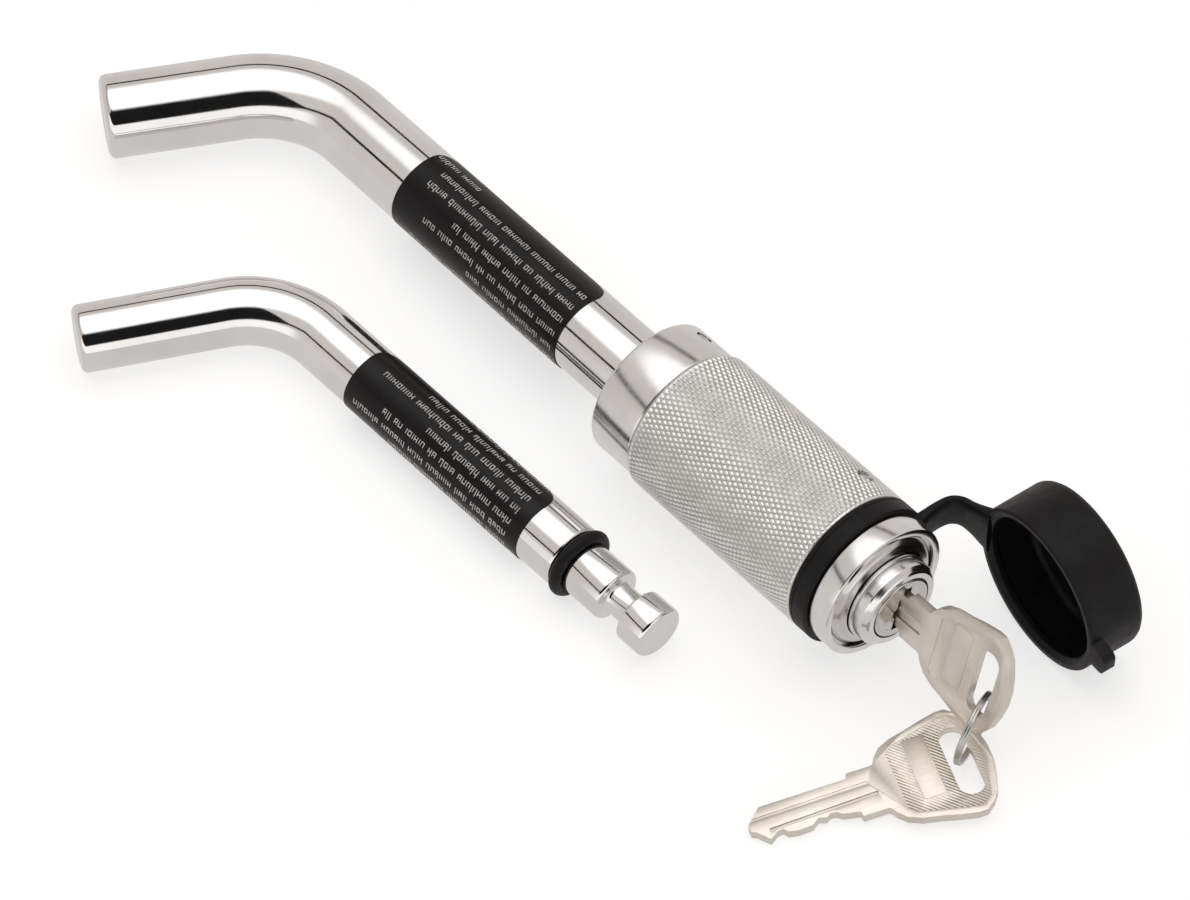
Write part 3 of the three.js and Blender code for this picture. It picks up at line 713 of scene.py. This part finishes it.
def torus(centre_radius, wire, station):
    """A round ring about the X axis."""
    across = 24
    rings = []
    for i in range(ROUND):
        turn = 2 * pi * i / ROUND
        away = Vector((0, sin(turn), cos(turn)))
        ring = []
        for k in range(across):
            tilt = 2 * pi * k / across
            along = Vector((station + wire * sin(tilt), 0, 0))
            ring.append(along + away * (centre_radius + wire * cos(tilt)))
        rings.append(ring)
    return loft(rings, closed=True)


def make_pin(prefix, pin, straight, rolled, body, seal_body, stem):
    """One bent pin: rod, film, print and O-ring. stem begins the names of its CAD label and O-ring."""
    rod = solid(f"{prefix}_rod", bent_rod(pin), rolled)
    finish_piece(rod, CHROME, body, "chrome", prefix)
    wrap = solid(f"{prefix}_film", wrapped_film(pin), straight)
    finish_piece(wrap, FILM_SKIN, body, "label_film", f"{stem}_label")
    rows = solid(f"{prefix}_print", printed_rows(pin), straight)
    finish_piece(rows, INK, body, "label_film")
    ring = torus(SEAL["centre"], SEAL["wire"], pin["shoulder"] + SEAL["width"] / 2)
    seal = solid(f"{prefix}_seal", ring, straight)
    finish_piece(seal, RUBBER, seal_body, "black_rubber", f"{stem}_o_ring")


make_pin("receiver_pin", RECEIVER, LOCK, LOCK_ROLLED, "pin", "pin_seal", "pin")
make_pin("spare_pin", SPARE, SPARE_SHAFT, SPARE_ROLLED, "spare_pin", "spare_pin", "spare_pin")

# ---- lock head ----


def lock_body():
    """Polished collar, spigot and ball carrier, with their drilled holes."""
    c, b = COLLAR, CARRIER
    made = solid("collar_and_carrier", lathe([
        (b["bore_end"], 0), (b["bore_end"], b["bore"]), (c["seal_end"], b["bore"]),
        (c["seal_end"], c["seal_bore"]), (c["bore_end"], c["seal_bore"]), (c["bore_end"], c["bore"]),
        (c["start"], c["bore"], 0.3), (c["start"], c["radius"], 0.6), (c["end"], c["radius"], 0.45),
        (c["end"], SPIGOT["outer"]), (SPIGOT["end"], SPIGOT["outer"]),
        (SPIGOT["end"], SPIGOT["inner"]), (c["end"], SPIGOT["inner"]),
        (c["end"], b["radius"]), (b["end"], b["radius"]), (b["end"], 0),
    ]), LOCK)
    s = SET_SCREW
    boolean(made, radial(s["station"], s["angle"], s["hole"], s["floor"], DRILL_TOP))
    for angle in BALLS["angles"]:
        boolean(made, radial(BALLS["station"], angle, BALLS["hole"], *BALLS["drill"]))
    finish_piece(made, MACHINED, "lock_head", "chrome", "lock_body")


def set_screw():
    """A blind screw almost level with the collar, its rim rounded."""
    s = SET_SCREW
    screw = radial(s["station"], s["angle"], s["radius"], s["inner"], s["top"])
    made = solid("set_screw", screw, LOCK)
    soften_edges(made, 0.3)
    finish_piece(made, STEEL, "lock_head", "steel_hardware", "collar_set_screw")


def triangle_wave(value):
    """0 at whole numbers and 1 half-way between them."""
    return 1 - abs(2 * (value % 1) - 1)


def knurled_sleeve():
    """The grip: two crossed sets of helical cuts leave rows of small diamonds."""
    s = SLEEVE
    twist = tan(KNURL["helix"]) * KNURL["starts"] / (2 * pi * s["radius"])
    hole_angle = radians(ROLL_PIN["angle"])

    def outer_ring(station):
        edge = min(station - s["start"], s["end"] - station)
        land = min(1.0, max(0.0, (edge - KNURL["margin"]) / KNURL["run_in"]))
        chamfer = max(0.0, s["edge"] - edge) * s["edge_slope"]
        points = []
        for i in range(KNURL["columns"]):
            turn = 2 * pi * i / KNURL["columns"]
            first = KNURL["starts"] * turn / (2 * pi) + station * twist
            second = KNURL["starts"] * turn / (2 * pi) - station * twist
            peak = min(triangle_wave(first), triangle_wave(second))
            peak = min(1.0, peak * KNURL["crest"])
            radius = s["radius"] - chamfer - KNURL["depth"] * (1 - peak) * land
            off = hypot(station - ROLL_PIN["station"], (turn - hole_angle) * s["radius"])
            if off < ROLL_PIN["hole"]:
                radius = s["radius"] - ROLL_PIN["hole_depth"]
            points.append(Vector((station, radius * sin(turn), radius * cos(turn))))
        return points

    length = s["end"] - s["start"]
    fine = [s["start"] + length * k / KNURL["rows"] for k in range(KNURL["rows"] + 1)]
    rings = [outer_ring(station) for station in fine]
    inside = [
        (s["end"], s["bore"]), (s["mouth_end"], s["bore"]),
        (s["mouth_end"], s["mouth"]), (s["start"], s["mouth"]),
    ]
    rings += [circle(station, radius, KNURL["columns"]) for station, radius in inside]
    made = solid("knurled_grip", loft(rings, closed=True), LOCK, 60)
    finish_piece(made, SATIN, "lock_head", "satin_steel", "knurled_sleeve")


def roll_pin():
    """The end of the pin that locks the grip to the bezel."""
    r = ROLL_PIN
    pin = radial(r["station"], r["angle"], r["radius"], r["inner"], r["top"])
    made = solid("roll_pin_end", pin, LOCK)
    soften_edges(made, 0.25)
    finish_piece(made, STEEL, "lock_head", "steel_hardware", "sleeve_roll_pin")


def bezel():
    """The front ring, its threaded tail and the groove that the latch pin drops into."""
    b = BEZEL
    groove_start, groove_end = b["groove"]
    made = solid("bezel_ring", lathe([
        (b["tail"], b["bore"]), (b["tail"], b["tail_radius"]), (b["shoulder"], b["tail_radius"]),
        (b["shoulder"], b["neck"]), (b["neck_end"], b["neck"]), (b["neck_end"], b["radius"], 0.35),
        (b["end"], b["radius"], 0.35), (b["end"], b["rim"], 0.3), (b["recess"], b["rim"]),
        (b["recess"], b["bore"]), (groove_end, b["bore"]), (groove_end, b["groove_radius"]),
        (groove_start, b["groove_radius"]), (groove_start, b["bore"]),
    ], closed=True), LOCK)
    finish_piece(made, MACHINED, "lock_head", "chrome", "bezel")


def face_disc():
    """A dished plate that rises towards the barrel."""
    f = FACE_PLATE
    bore = BEZEL["bore"]
    made = solid("face_plate", lathe([
        (f["start"], bore), (f["start"], f["radius"]), (f["rim"], f["radius"], 0.35),
        (*f["crown"], 1.2), (f["end"], bore),
    ], closed=True), LOCK)
    finish_piece(made, BRUSHED, "lock_head", "satin_steel", "face_disc")


def barrel():
    """The pushed-in core with its bevelled nose and a fine bead near the face plate."""
    b = BARREL
    bead_start, bead_end = b["bead"]
    made = solid("core_barrel", lathe([
        (b["start"], b["cavity"]), (b["start"], b["radius"], 0.4),
        (bead_start - b["bead_slope"], b["radius"]), (bead_start, b["bead_radius"], 0.08),
        (bead_end, b["bead_radius"], 0.08), (bead_end + b["bead_slope"], b["radius"]),
        (b["shoulder"], b["radius"], 0.45), (*b["nose"], 0.4), (b["end"], b["face"], 0.2),
        (b["end"], b["mouth"], 0.15), (b["bore_start"], b["bore"]), (b["bore_start"], b["tail_hole"]),
        (b["cavity_end"], b["tail_hole"]), (b["cavity_end"], b["cavity"]),
    ], closed=True), LOCK)
    boolean(made, radial(LATCH["station"], 0, LATCH["hole"], *LATCH["drill"]))
    boolean(made, radial(LATCH["station"], 180, LATCH["guide_hole"], *LATCH["drill"]))
    finish_piece(made, MACHINED, "plunger", "chrome", "plunger_barrel")


def plug():
    """The turning core: a flat face cut by the keyway."""
    p = PLUG
    clip_start, clip_end = p["clip"]
    made = solid("key_plug", lathe([
        (p["tail"], 0), (p["tail"], p["tail_radius"], 0.3), (clip_start, p["tail_radius"]),
        (clip_start, p["clip_groove"]), (clip_end, p["clip_groove"]), (clip_end, p["tail_radius"]),
        (p["start"], p["tail_radius"]), (p["start"], p["radius"]), (p["end"], p["radius"], 0.25),
        (p["end"], 0),
    ]), LOCK)
    rings = []
    for station in KEYWAY:
        ring = []
        for across, along in KEYWAY_MOUTH:
            ring.append(Vector((
                station,
                along * sin(KEY_LEAN) - across * cos(KEY_LEAN),
                along * cos(KEY_LEAN) + across * sin(KEY_LEAN),
            )))
        rings.append(ring)
    boolean(made, loft(rings))
    finish_piece(made, BRUSHED, "plug", "chrome", "lock_plug")


def plunger_spring():
    """The coil behind the barrel. In the lock it is squeezed as the barrel is pushed in; here it is one
    fixed mesh on no body.
    """
    s = SPRING
    steps = 32 * s["turns"]
    along = Vector((1, 0, 0))
    frames = []
    for i in range(steps + 1):
        turn = 2 * pi * s["turns"] * i / steps
        away = Vector((0, sin(turn), cos(turn)))
        station = s["start"] + s["wire"] + (s["end"] - s["start"] - 2 * s["wire"]) * i / steps
        frames.append((along * station + away * s["radius"], away, along))
    made = solid("coil_spring", wire_along(frames, s["wire"], 12), LOCK, 60)
    finish_piece(made, STEEL, None, "steel_hardware", "plunger_spring")
    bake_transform(made)


lock_body()
set_screw()
knurled_sleeve()
roll_pin()
bezel()
face_disc()
barrel()
plug()
plunger_spring()

# ---- rubber: retaining ring, strap and dust cap ----


def retaining_ring():
    """The rubber band between grip and bezel, with a lip line near the grip."""
    r = CAP_RING
    made = solid("retaining_ring", lathe([
        (r["start"], r["inner"]), (r["start"], r["outer"], 0.25),
        (r["line"] - r["line_half"], r["outer"], 0.12), (r["line"], r["outer"] - r["line_depth"], 0.1),
        (r["line"] + r["line_half"], r["outer"], 0.12),
        (r["end"], r["outer"], 0.35), (r["end"], r["inner"]),
    ], closed=True), LOCK)
    finish_piece(made, RUBBER, "cap_ring", "black_rubber", "cap_retaining_ring")


def curve_through(knots, steps):
    """A smooth line through knots (Catmull-Rom), for points of any dimension."""
    ends = [2 * knots[0] - knots[1], *knots, 2 * knots[-1] - knots[-2]]
    line = []
    for i in range(1, len(ends) - 2):
        a, b, c, d = ends[i - 1:i + 3]
        for k in range(steps):
            t = k / steps
            line.append(0.5 * (
                2 * b
                + (c - a) * t
                + (2 * a - 5 * b + 4 * c - d) * t**2
                + (3 * b - a - 3 * c + d) * t**3
            ))
    line.append(knots[-1])
    return line


def strap():
    """One moulding from the ring to the cap: out, round a corner and into the cap's side."""
    line = curve_through([Vector(knot) for knot in STRAP_KNOTS], 8)
    across = 28
    squareness = 0.55                 # 1 gives an ellipse, 0 a rectangle
    rings = []
    for i, knot in enumerate(line):
        ahead = line[min(i + 1, len(line) - 1)] - line[max(i - 1, 0)]
        way = Vector((ahead[0], ahead[1], 0)).normalized()
        side = Vector((-way.y, way.x, 0))
        centre = Vector((knot[0], knot[1], STRAP_LEVEL))
        ring = []
        for k in range(across):
            turn = 2 * pi * k / across
            bulge = [abs(f(turn)) ** squareness * (1 if f(turn) >= 0 else -1) for f in (cos, sin)]
            ring.append(centre + side * bulge[0] * knot[3] + Vector((0, 0, bulge[1] * knot[2])))
        rings.append(ring)
    made = solid("cap_strap_band", loft(rings), TABLE, 60)
    finish_piece(made, RUBBER, None, "black_rubber", "cap_strap")
    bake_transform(made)


def dust_cap():
    """The cup lies on its side with its mouth at X = 0."""
    c = CAP
    inner = c["radius"] - c["wall"]
    bead = inner - c["bead_height"]
    bead_start, bead_end, bead_foot = c["bead"]
    floor_level = c["depth"] - c["floor"]
    made = solid("dust_cap_cup", lathe([
        (floor_level, 0), (floor_level, inner, 1.4), (bead_foot, inner, 0.4), (bead_end, bead, 0.3),
        (bead_start, bead, 0.3), (0, inner + c["mouth"], 0.4), (0, c["radius"], 0.5),
        (c["depth"], c["radius"], 1.8), (c["depth"], 0),
    ]), CAP_MOUTH)
    root = inner + CAP_TAB["root"]
    tip = c["radius"] + CAP_TAB["height"]
    half = CAP_TAB["width"] / 2
    splay = half + CAP_TAB["root"]
    outline = rounded([(-splay, root), (-half, tip, 1.4), (half, tip, 1.4), (splay, root)])
    turn = Matrix.Rotation(-CAP_TAB["angle"], 3, "X")
    tab = loft([[turn @ Vector((x, u, v)) for u, v in outline] for x in CAP_TAB["reach"]])
    boolean(made, tab, "UNION")
    soften_edges(made, 0.35, 50, 3)
    finish_piece(made, RUBBER, "cap", "black_rubber", "dust_cap")


retaining_ring()
strap()
dust_cap()

# ---- keys ----


def key_outline():
    back, collar = KEY["blade"], KEY["collar"]
    start, end = KEY["collar_start"], KEY["collar_end"]
    line = [(0, 0.7), (0.5, 1.3), (2.9, back), (start - 0.1, back), (start, collar), (end, collar)]
    line += KEY_BOW
    line += [(a, -half) for a, half in reversed(KEY_BOW)]
    line += [(end, -collar), (start, -collar), (start - 0.2, -3.6)]
    line += [(a, -half) for a, half in KEY_CUTS]
    line += [(0, -0.7)]
    return line


def slot_outline():
    near, far = KEY["slot"]
    half = KEY["slot_half"]
    corner = (far - near) / 2 - 0.05
    return rounded([
        (near, -half, corner), (far, -half, corner), (far, half, corner), (near, half, corner),
    ], closed=True, steps=8)


def panel_outline():
    """The sunk field of the bow: the bow's own outline drawn in by its border."""
    sides = [(a, half - KEY["border"]) for a, half in KEY_BOW if 28 < a < 42.5]
    top = [(27.4, sides[0][1] - 1.2), *sides, (43.4, 1.5)]
    return top + [(a, -half) for a, half in reversed(top)]


def key(name, place, body):
    """A flat key: cuts, collar, warding grooves, slotted bow and a sunk ribbed panel on each side."""
    half = KEY["thickness"] / 2
    sunk = half - KEY["panel_depth"]
    made = solid(name, plate(key_outline(), -half, half), place)
    for outline, side, depth in KEY_GROOVES:
        boolean(made, plate(outline, *sorted((side * (half - depth), side * CLEAR))))
    near, far, low, high = KEY_PLAQUE
    corner = 0.4
    plaque = rounded([
        (near, low, corner), (far, low, corner), (far, high, corner), (near, high, corner),
    ], closed=True, steps=3)
    for side in (-1, 1):
        boolean(made, plate(panel_outline(), *sorted((side * sunk, side * CLEAR))))
        boolean(made, plate(plaque, *sorted((side * (sunk - 0.1), side * (half - 0.03)))), "UNION")
    boolean(made, plate(slot_outline(), -CLEAR, CLEAR))
    soften_edges(made, 0.14, 40, 2)
    finish_piece(made, KEY_METAL, body, "key_metal")
    made.data.materials.append(KEY_PANEL)
    for face in made.data.polygons:
        flat = abs(face.normal.z) > 0.9 and abs(abs(face.center.z) / MM - sunk) < 0.04
        if flat and face.center.x > 26 * MM:
            face.material_index = 1
    return made


def key_ring():
    """A split ring: two turns of wire side by side, pressed together."""
    r = KEY_RING
    steps = 150
    normal = Vector(r["normal"]).normalized()
    face = normal.to_track_quat("X", "Z")
    frames = []
    for i in range(steps + 1):
        share = i / steps
        turn = 2 * pi * r["turns"] * share
        away = face @ Vector((0, cos(turn), sin(turn)))
        shift = (share - 0.5) * r["pitch"]
        reach = r["radius"] + r["spread"] * sin(turn / 2)
        centre = Vector(r["place"]) + away * reach + normal * shift
        frames.append((centre, away, normal))
    made = solid("split_ring", wire_along(frames, r["wire"], 16), TABLE, 60)
    finish_piece(made, STEEL, "key_ring", "steel_hardware", "key_ring")


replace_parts(key("key_in_lock", KEY_IN_LOCK, "key"), "key")
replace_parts(key("spare_key_blank", SPARE_KEY, "spare_key"), "spare_key")
key_ring()

# ---- finishes of the CAD parts that stay ----

KEPT = {"cam_sleeve": STEEL, "barrel_guide_pin": STEEL, "plug_clip": DARK, "latch_pin": STEEL}
KEPT.update({f"locking_ball_{i}": STEEL for i in (1, 2, 3)})
KEPT.update({f"wafer_{i}": BRASS for i in (1, 2, 3, 4, 5)})
for node, material in KEPT.items():
    for material_slot in frame["nodes"][node].material_slots:
        material_slot.material = material

# ---- camera, floor and light ----

CAMERA_AZIMUTH = radians(49.257)
CAMERA_ELEVATION = radians(54.453)
CAMERA_DISTANCE = 1.3
CAMERA_TARGET = Vector((0.00695, 0.00795, 0))
CAMERA_LENS = 217.0
# The flag's middle height and half height, as sines of the elevation, in front and to the left.
FLAG = {"front": (0.675, 0.27), "left": (0.545, 0.04), "colour": (0.012, 0.012, 0.012, 1)}
SOFTBOX = {"lean": radians(8.5), "full": radians(24), "edge": radians(37),
           "colour": (1.5, 1.485, 1.47, 1)}
WALLS = (0.68, 0.645, 0.62, 1)
LOW_FRONT = (1.15, 1.13, 1.11, 1)
FLOOR_MIRRORED = (0.70, 0.675, 0.66, 1)
FLOOR_SEEN = 0.64


def camera():
    data = bpy.data.cameras.new("camera")
    data.lens = CAMERA_LENS
    data.clip_start = 0.05
    data.clip_end = 20
    made = placed("camera", data)
    back = Vector((
        sin(CAMERA_AZIMUTH) * cos(CAMERA_ELEVATION),
        -cos(CAMERA_AZIMUTH) * cos(CAMERA_ELEVATION),
        sin(CAMERA_ELEVATION),
    ))
    made.location = CAMERA_TARGET + back * CAMERA_DISTANCE
    made.rotation_mode = "QUATERNION"
    made.rotation_quaternion = (-back).to_track_quat("-Z", "Y")
    bpy.context.scene.camera = made


def floor():
    """White paper: bright as seen, greyer where metal mirrors it, so that metal keeps its edges."""
    mesh = bpy.data.meshes.new("floor")
    reach = 6.0
    corners = [(-reach, -reach, 0), (reach, -reach, 0), (reach, reach, 0), (-reach, reach, 0)]
    mesh.from_pydata(corners, [], [(0, 1, 2, 3)])
    made = placed("floor", mesh)
    seen = Finish("floor_paper", (0.5, 0.5, 0.5), 0, 1.0, 0.0)
    seen.shader.inputs["Emission Color"].default_value = (1, 1, 1, 1)
    seen.shader.inputs["Emission Strength"].default_value = FLOOR_SEEN
    mirrored = seen.node("ShaderNodeEmission")
    mirrored.inputs["Color"].default_value = FLOOR_MIRRORED
    mix = seen.node("ShaderNodeMixShader")
    seen.link(seen.node("ShaderNodeLightPath").outputs["Is Glossy Ray"], mix.inputs[0])
    seen.link(seen.shader.outputs[0], mix.inputs[1])
    seen.link(mirrored.outputs[0], mix.inputs[2])
    seen.link(mix.outputs[0], seen.tree.nodes["Material Output"].inputs["Surface"])
    made.data.materials.append(seen.material)


def studio_world():
    """A studio seen by direction: warm walls, a big overhead softbox, a black flag in front."""
    world = bpy.data.worlds.new("studio")
    bpy.context.scene.world = world
    world.use_nodes = True
    tree = world.node_tree
    background = tree.nodes["Background"]
    direction = tree.nodes.new("ShaderNodeTexCoord").outputs["Generated"]
    front = Vector((sin(CAMERA_AZIMUTH), -cos(CAMERA_AZIMUTH), 0))
    left = Vector((-cos(CAMERA_AZIMUTH), -sin(CAMERA_AZIMUTH), 0))

    def along(way):
        made = tree.nodes.new("ShaderNodeVectorMath")
        made.operation = "DOT_PRODUCT"
        tree.links.new(direction, made.inputs[0])
        made.inputs[1].default_value = way
        return made.outputs["Value"]

    def maths(operation, first, second):
        made = tree.nodes.new("ShaderNodeMath")
        made.operation = operation
        for socket, value in zip(made.inputs, (first, second)):
            if isinstance(value, (int, float)):
                socket.default_value = value
            else:
                tree.links.new(value, socket)
        return made.outputs[0]

    def rise(value, low, high):
        made = tree.nodes.new("ShaderNodeMapRange")
        made.interpolation_type = "SMOOTHSTEP"
        tree.links.new(value, made.inputs["Value"])
        made.inputs["From Min"].default_value = low
        made.inputs["From Max"].default_value = high
        return made.outputs["Result"]

    def below(value, low, high):
        return maths("SUBTRACT", 1.0, rise(value, low, high))

    def painted(colour, mask, over):
        made = tree.nodes.new("ShaderNodeMix")
        made.data_type = "RGBA"
        tree.links.new(mask, made.inputs["Factor"])
        if isinstance(over, tuple):
            made.inputs["A"].default_value = over
        else:
            tree.links.new(over, made.inputs["A"])
        made.inputs["B"].default_value = colour
        return made.outputs["Result"]

    def sine(angle):
        return sin(radians(angle))

    height = along((0, 0, 1))
    level = maths("SQRT", maths("SUBTRACT", 1.0001, maths("MULTIPLY", height, height)), 0)
    facing = maths("DIVIDE", along(front), level)
    leftward = maths("DIVIDE", along(left), level)
    softbox_way = Vector((0, 0, 1)) * cos(SOFTBOX["lean"]) - front * sin(SOFTBOX["lean"])
    softbox = rise(along(softbox_way), cos(SOFTBOX["edge"]), cos(SOFTBOX["full"]))
    # The flag is tall in front and narrows to a thin dark strip towards the left.
    tall = rise(facing, cos(radians(62)), cos(radians(22)))
    middle = maths("MULTIPLY", tall, FLAG["front"][0] - FLAG["left"][0])
    middle = maths("ADD", middle, FLAG["left"][0])
    reach = maths("MULTIPLY", tall, FLAG["front"][1] - FLAG["left"][1])
    reach = maths("ADD", reach, FLAG["left"][1])
    off = maths("ABSOLUTE", maths("SUBTRACT", height, middle), 0)
    flag = maths("MULTIPLY", below(maths("DIVIDE", off, reach), 0.82, 1.0), rise(leftward, -0.62, -0.35))
    low_front = maths("MULTIPLY", rise(facing, 0.2, 0.6), below(height, sine(22), sine(26)))
    colour = painted(LOW_FRONT, low_front, WALLS)
    colour = painted(FLAG["colour"], flag, colour)
    colour = painted(SOFTBOX["colour"], softbox, colour)
    tree.links.new(colour, background.inputs["Color"])
    background.inputs["Strength"].default_value = 1.0


camera()
floor()
studio_world()
bpy.context.scene.view_settings.view_transform = "Standard"
